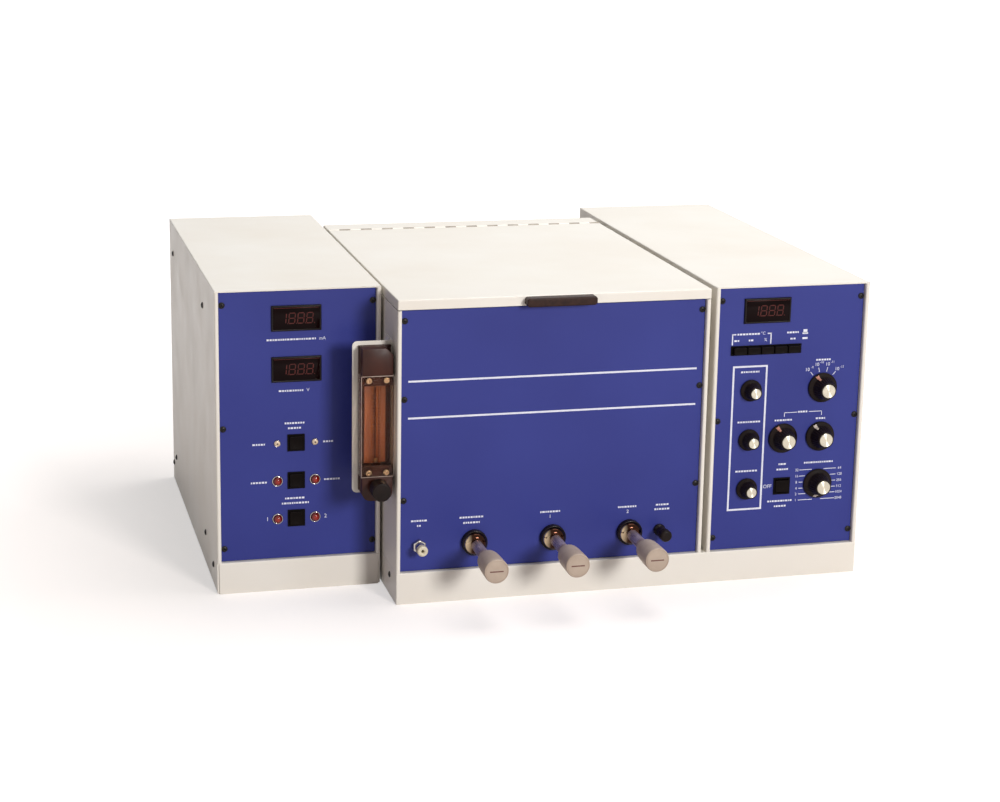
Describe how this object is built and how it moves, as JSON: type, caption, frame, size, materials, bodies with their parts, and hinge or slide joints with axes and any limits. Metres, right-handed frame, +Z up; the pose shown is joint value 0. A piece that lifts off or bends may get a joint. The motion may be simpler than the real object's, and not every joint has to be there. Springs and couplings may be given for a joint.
{
  "type": "gas chromatograph",
  "caption": "Bench-top gas chromatograph: column-oven module with a hinged lid and gas valves, between a control module and an electronics module.",
  "frame": {"origin": "bottom centre of the whole box, valve handles and side screws included, on the table", "axes": "+X to the right seen from the front, +Y to the rear (fronts face -Y), +Z up"},
  "size_m": [0.7048, 0.6, 0.33],
  "materials": {
    "cream_paint": "satin",
    "blue_paint": "satin",
    "black_screw": "satin",
    "meter_black": "satin",
    "black_plastic": "satin",
    "knob_black": "gloss",
    "red_lens": "gloss",
    "chrome": "polished",
    "handle_grey": "satin",
    "handle_brown": "satin",
    "steel": "brushed",
    "aluminium": "machined",
    "fibre": "fibrous",
    "flow_brown": "satin",
    "tube_glass": "clear",
    "shield_clear": "clear",
    "brass": "polished",
    "electronics": "satin"
  },
  "bodies": {
    "cabinet": {"case_screws": "black_screw", "centre_body": "cream_paint", "centre_front_panel": "blue_paint", "column_coils": "steel", "control_bodies": "black_plastic", "detector_cell": "aluminium", "digital_meters": "meter_black", "electronics": "electronics", "fan_motor": "aluminium", "flowmeter_body": "flow_brown", "flowmeter_bracket": "cream_paint", "flowmeter_screws": "brass", "flowmeter_shield": "shield_clear", "flowmeter_tube": "tube_glass", "hinge_body_leaf": "steel", "indicator_lamps": "red_lens", "injector_ports": "aluminium", "lamp_bezels": "chrome", "left_base_tray": "cream_paint", "left_cover": "cream_paint", "left_front_panel": "blue_paint", "main_base_tray": "cream_paint", "oven_deck": "steel", "oven_heater": "steel", "oven_insulation": "fibre", "oven_liner": "steel", "power_inlet": "black_plastic", "rear_deck": "cream_paint", "rear_panels": "cream_paint", "right_cover": "cream_paint", "right_front_panel": "blue_paint", "sample_fitting": "chrome", "valve_bodies": "chrome"},
    "oven_lid": {"lid": "cream_paint", "lid_insulation": "fibre", "lid_handle": "handle_brown", "hinge_lid_leaf": "steel"},
    "voltage_mode_push": {"voltage_mode_button": "black_plastic"},
    "inject_purge_push": {"inject_purge_button": "black_plastic"},
    "column_select_push": {"column_select_button": "black_plastic"},
    "selector_1": {"selector_button_1": "black_plastic"},
    "selector_2": {"selector_button_2": "black_plastic"},
    "selector_3": {"selector_button_3": "black_plastic"},
    "selector_4": {"selector_button_4": "black_plastic"},
    "selector_5": {"selector_button_5": "black_plastic"},
    "rocker": {"mode_rocker": "black_plastic"},
    "column_temperature": {"column_temperature_knob": "knob_black"},
    "detector_temperature": {"detector_temperature_knob": "knob_black"},
    "injector_temperature": {"injector_temperature_knob": "knob_black"},
    "range_dial": {"range_knob": "knob_black"},
    "fine_zero_dial": {"fine_zero_knob": "knob_black"},
    "attenuator_dial": {"attenuator_knob": "knob_black"},
    "coarse_zero_dial": {"coarse_zero_knob": "knob_black"},
    "detector_stem": {"detector_valve_handle": "handle_grey"},
    "carrier_one_stem": {"carrier_one_handle": "handle_grey"},
    "carrier_two_stem": {"carrier_two_handle": "handle_grey"},
    "purge_stem": {"purge_knob": "black_plastic"},
    "flow_valve": {"flowmeter_knob": "black_plastic"},
    "flow_float": {"flowmeter_float": "brass"},
    "fan": {"fan_rotor": "aluminium"}
  },
  "joints": [
    {"name": "lid_hinge", "type": "hinge", "parent": "cabinet", "child": "oven_lid", "pos_m": [-0.0015, 0.195, 0.3278], "axis": [-1, 0, 0], "range_deg": [0, 100]},
    {"name": "voltage_mode_button_press", "type": "slide", "parent": "cabinet", "child": "voltage_mode_push", "axis": [0, 1, 0], "range_m": [0, 0.0025], "stiffness_N_per_m": 400},
    {"name": "inject_purge_button_press", "type": "slide", "parent": "cabinet", "child": "inject_purge_push", "axis": [0, 1, 0], "range_m": [0, 0.0025], "stiffness_N_per_m": 400},
    {"name": "column_select_button_press", "type": "slide", "parent": "cabinet", "child": "column_select_push", "axis": [0, 1, 0], "range_m": [0, 0.0025], "stiffness_N_per_m": 400},
    {"name": "selector_1_press", "type": "slide", "parent": "cabinet", "child": "selector_1", "axis": [0, 1, 0], "range_m": [0, 0.003], "stiffness_N_per_m": 400},
    {"name": "selector_2_press", "type": "slide", "parent": "cabinet", "child": "selector_2", "axis": [0, 1, 0], "range_m": [0, 0.003], "stiffness_N_per_m": 400},
    {"name": "selector_3_press", "type": "slide", "parent": "cabinet", "child": "selector_3", "axis": [0, 1, 0], "range_m": [0, 0.003], "stiffness_N_per_m": 400},
    {"name": "selector_4_press", "type": "slide", "parent": "cabinet", "child": "selector_4", "axis": [0, 1, 0], "range_m": [0, 0.003], "stiffness_N_per_m": 400},
    {"name": "selector_5_press", "type": "slide", "parent": "cabinet", "child": "selector_5", "axis": [0, 1, 0], "range_m": [0, 0.003], "stiffness_N_per_m": 400},
    {"name": "rocker_tilt", "type": "hinge", "parent": "cabinet", "child": "rocker", "pos_m": [0.2605, -0.199, 0.1038], "axis": [1, 0, 0], "range_deg": [-10, 10]},
    {"name": "column_temperature_turn", "type": "hinge", "parent": "cabinet", "child": "column_temperature", "pos_m": [0.2195, -0.203, 0.214], "axis": [0, 1, 0], "range_deg": [-150, 150]},
    {"name": "detector_temperature_turn", "type": "hinge", "parent": "cabinet", "child": "detector_temperature", "pos_m": [0.2195, -0.203, 0.1585], "axis": [0, 1, 0], "range_deg": [-150, 150]},
    {"name": "injector_temperature_turn", "type": "hinge", "parent": "cabinet", "child": "injector_temperature", "pos_m": [0.2195, -0.203, 0.103], "axis": [0, 1, 0], "range_deg": [-150, 150]},
    {"name": "range_dial_turn", "type": "hinge", "parent": "cabinet", "child": "range_dial", "pos_m": [0.3025, -0.203, 0.2135], "axis": [0, 1, 0], "range_deg": [0, 90]},
    {"name": "fine_zero_dial_turn", "type": "hinge", "parent": "cabinet", "child": "fine_zero_dial", "pos_m": [0.3025, -0.203, 0.1585], "axis": [0, 1, 0], "range_deg": [-120, 180]},
    {"name": "attenuator_dial_turn", "type": "hinge", "parent": "cabinet", "child": "attenuator_dial", "pos_m": [0.3025, -0.203, 0.1045], "axis": [0, 1, 0], "range_deg": [0, 330]},
    {"name": "coarse_zero_dial_turn", "type": "hinge", "parent": "cabinet", "child": "coarse_zero_dial", "pos_m": [0.259, -0.203, 0.1585], "axis": [0, 1, 0], "range_deg": [-120, 180]},
    {"name": "detector_stem_turn", "type": "hinge", "parent": "cabinet", "child": "detector_stem", "pos_m": [-0.0865, -0.203, 0.0628], "axis": [0, -1, 0], "range_deg": [0, 1080]},
    {"name": "carrier_one_stem_turn", "type": "hinge", "parent": "cabinet", "child": "carrier_one_stem", "pos_m": [0, -0.203, 0.0628], "axis": [0, -1, 0], "range_deg": [0, 1080]},
    {"name": "carrier_two_stem_turn", "type": "hinge", "parent": "cabinet", "child": "carrier_two_stem", "pos_m": [0.086, -0.203, 0.0628], "axis": [0, -1, 0], "range_deg": [0, 1080]},
    {"name": "purge_stem_turn", "type": "hinge", "parent": "cabinet", "child": "purge_stem", "pos_m": [0.1205, -0.203, 0.0628], "axis": [0, -1, 0], "range_deg": [0, 1080]},
    {"name": "flow_valve_turn", "type": "hinge", "parent": "cabinet", "child": "flow_valve", "pos_m": [-0.1905, -0.2, 0.13], "axis": [0, -1, 0], "range_deg": [0, 1080]},
    {"name": "float_rise", "type": "slide", "parent": "cabinet", "child": "flow_float", "axis": [0, 0, 1], "range_m": [0, 0.062]},
    {"name": "fan_spin", "type": "hinge", "parent": "cabinet", "child": "fan", "pos_m": [-0.0015, 0.009, 0.127], "axis": [0, 0, 1], "continuous": true}
  ]
}
